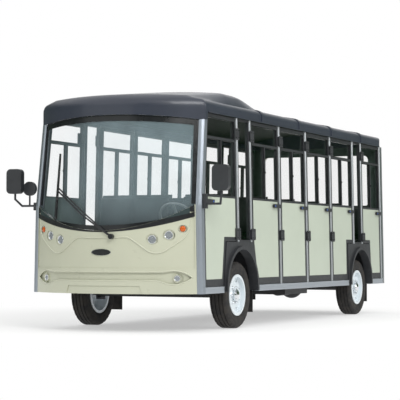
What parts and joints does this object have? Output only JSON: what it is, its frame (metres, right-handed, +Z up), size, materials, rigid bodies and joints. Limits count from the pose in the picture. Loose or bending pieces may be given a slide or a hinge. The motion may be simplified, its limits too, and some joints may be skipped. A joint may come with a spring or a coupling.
{
  "type": "electric sightseeing bus",
  "caption": "Closed electric sightseeing bus with a bowed cream nose, black roof, round alloy posts, hinged side doors with sliding windows, bench rows and steered front wheels.",
  "frame": {"origin": "middle of the bounding box on the ground", "axes": "+X forward along the bus, +Y to its left, +Z up"},
  "size_m": [6.252, 2.491, 2.45],
  "materials": {
    "cream_paint": "gloss paint",
    "roof_black": "satin paint",
    "frame_black": "satin paint",
    "trim_black": "satin moulded",
    "alloy": "brushed, anodised",
    "clear_glass": "clear",
    "tinted_glass": "tinted",
    "tyre_rubber": "matte",
    "flap_rubber": "matte",
    "wheel_white": "gloss paint",
    "motor_grey": "satin paint",
    "floor_grey": "ribbed mat",
    "seat_leather": "soft, stitched",
    "pale_lining": "satin moulded",
    "lamp_lens": "clear lens"
  },
  "bodies": {
    "chassis": {"chassis_frame": "frame_black", "floor_deck": "floor_grey", "battery_pack": "frame_black", "drive_motor": "motor_grey", "front_axle": "frame_black", "rear_axle": "frame_black", "leaf_springs": "frame_black", "front_fascia": "cream_paint", "windshield": "clear_glass", "corner_posts": "alloy", "side_posts": "alloy", "side_sills": "alloy", "roof_panel": "roof_black", "roof_cowl": "roof_black", "rear_panel": "cream_paint", "fixed_glass": "tinted_glass", "bay_frames": "trim_black", "wheel_arches": "trim_black", "mud_flaps": "flap_rubber", "seat_frames": "trim_black", "seat_pads": "seat_leather", "dashboard": "trim_black", "mirrors": "trim_black", "wiper": "trim_black", "lamps": "lamp_lens"},
    "steering_wheel": {"steering_wheel": "trim_black"},
    "knuckle_l": {"knuckle_l": "motor_grey"},
    "knuckle_r": {"knuckle_r": "motor_grey"},
    "door_l1": {"door_l1": "cream_paint", "glass_l1": "tinted_glass"},
    "door_l2": {"door_l2": "cream_paint", "glass_l2": "tinted_glass"},
    "door_l3": {"door_l3": "cream_paint", "glass_l3": "tinted_glass"},
    "door_l4": {"door_l4": "cream_paint", "glass_l4": "tinted_glass"},
    "door_l5": {"door_l5": "cream_paint", "glass_l5": "tinted_glass"},
    "door_l6": {"door_l6": "cream_paint", "glass_l6": "tinted_glass"},
    "door_r1": {"door_r1": "cream_paint", "glass_r1": "tinted_glass"},
    "door_r2": {"door_r2": "cream_paint", "glass_r2": "tinted_glass"},
    "door_r3": {"door_r3": "cream_paint", "glass_r3": "tinted_glass"},
    "door_r4": {"door_r4": "cream_paint", "glass_r4": "tinted_glass"},
    "door_r5": {"door_r5": "cream_paint", "glass_r5": "tinted_glass"},
    "door_r6": {"door_r6": "cream_paint", "glass_r6": "tinted_glass"},
    "wheel_fl": {"tyre_fl": "tyre_rubber", "rim_fl": "wheel_white"},
    "wheel_fr": {"tyre_fr": "tyre_rubber", "rim_fr": "wheel_white"},
    "wheel_rl": {"tyre_rl": "tyre_rubber", "rim_rl": "wheel_white"},
    "wheel_rr": {"tyre_rr": "tyre_rubber", "rim_rr": "wheel_white"}
  },
  "joints": [
    {"name": "door_l1_swing", "type": "hinge", "parent": "chassis", "child": "door_l1", "pos_m": [1.833, 0.92949, 1.39979], "axis": [0, -0.0201, 0.9998], "range_deg": [0, 80]},
    {"name": "door_l2_swing", "type": "hinge", "parent": "chassis", "child": "door_l2", "pos_m": [1.436, 0.92949, 1.39979], "axis": [0, 0.0201, -0.9998], "range_deg": [0, 80]},
    {"name": "door_l3_swing", "type": "hinge", "parent": "chassis", "child": "door_l3", "pos_m": [0.591, 0.92949, 1.39979], "axis": [0, 0.0201, -0.9998], "range_deg": [0, 80]},
    {"name": "door_l4_swing", "type": "hinge", "parent": "chassis", "child": "door_l4", "pos_m": [-0.254, 0.92949, 1.39979], "axis": [0, 0.0201, -0.9998], "range_deg": [0, 80]},
    {"name": "door_l5_swing", "type": "hinge", "parent": "chassis", "child": "door_l5", "pos_m": [-1.099, 0.92949, 1.39979], "axis": [0, 0.0201, -0.9998], "range_deg": [0, 80]},
    {"name": "door_l6_swing", "type": "hinge", "parent": "chassis", "child": "door_l6", "pos_m": [-2.274, 0.92949, 1.39979], "axis": [0, 0.0201, -0.9998], "range_deg": [0, 80]},
    {"name": "door_r1_swing", "type": "hinge", "parent": "chassis", "child": "door_r1", "pos_m": [1.833, -0.92949, 1.39979], "axis": [0, -0.0201, -0.9998], "range_deg": [0, 80]},
    {"name": "door_r2_swing", "type": "hinge", "parent": "chassis", "child": "door_r2", "pos_m": [1.436, -0.92949, 1.39979], "axis": [0, 0.0201, 0.9998], "range_deg": [0, 80]},
    {"name": "door_r3_swing", "type": "hinge", "parent": "chassis", "child": "door_r3", "pos_m": [0.591, -0.92949, 1.39979], "axis": [0, 0.0201, 0.9998], "range_deg": [0, 80]},
    {"name": "door_r4_swing", "type": "hinge", "parent": "chassis", "child": "door_r4", "pos_m": [-0.254, -0.92949, 1.39979], "axis": [0, 0.0201, 0.9998], "range_deg": [0, 80]},
    {"name": "door_r5_swing", "type": "hinge", "parent": "chassis", "child": "door_r5", "pos_m": [-1.099, -0.92949, 1.39979], "axis": [0, 0.0201, 0.9998], "range_deg": [0, 80]},
    {"name": "door_r6_swing", "type": "hinge", "parent": "chassis", "child": "door_r6", "pos_m": [-2.274, -0.92949, 1.39979], "axis": [0, 0.0201, 0.9998], "range_deg": [0, 80]},
    {"name": "steer_l", "type": "hinge", "parent": "chassis", "child": "knuckle_l", "pos_m": [1.747, 0.69, 0.344], "axis": [0, 0, 1], "range_deg": [-35, 35]},
    {"name": "steer_r", "type": "hinge", "parent": "chassis", "child": "knuckle_r", "pos_m": [1.747, -0.69, 0.344], "axis": [0, 0, 1], "range_deg": [-35, 35]},
    {"name": "wheel_fl_spin", "type": "hinge", "parent": "knuckle_l", "child": "wheel_fl", "pos_m": [1.747, 0.805, 0.344], "axis": [0, 1, 0], "continuous": true},
    {"name": "wheel_fr_spin", "type": "hinge", "parent": "knuckle_r", "child": "wheel_fr", "pos_m": [1.747, -0.805, 0.344], "axis": [0, 1, 0], "continuous": true},
    {"name": "wheel_rl_spin", "type": "hinge", "parent": "chassis", "child": "wheel_rl", "pos_m": [-2.163, 0.805, 0.344], "axis": [0, 1, 0], "continuous": true},
    {"name": "wheel_rr_spin", "type": "hinge", "parent": "chassis", "child": "wheel_rr", "pos_m": [-2.163, -0.805, 0.344], "axis": [0, 1, 0], "continuous": true},
    {"name": "steering_turn", "type": "hinge", "parent": "chassis", "child": "steering_wheel", "pos_m": [2.312, 0.47, 1.13], "axis": [-0.788, 0, 0.6157], "range_deg": [-500, 500]}
  ],
  "couplings": [
    {"joint": "steer_r", "follows": "steer_l", "ratio": 1},
    {"joint": "steering_turn", "follows": "steer_l", "ratio": 14}
  ]
}
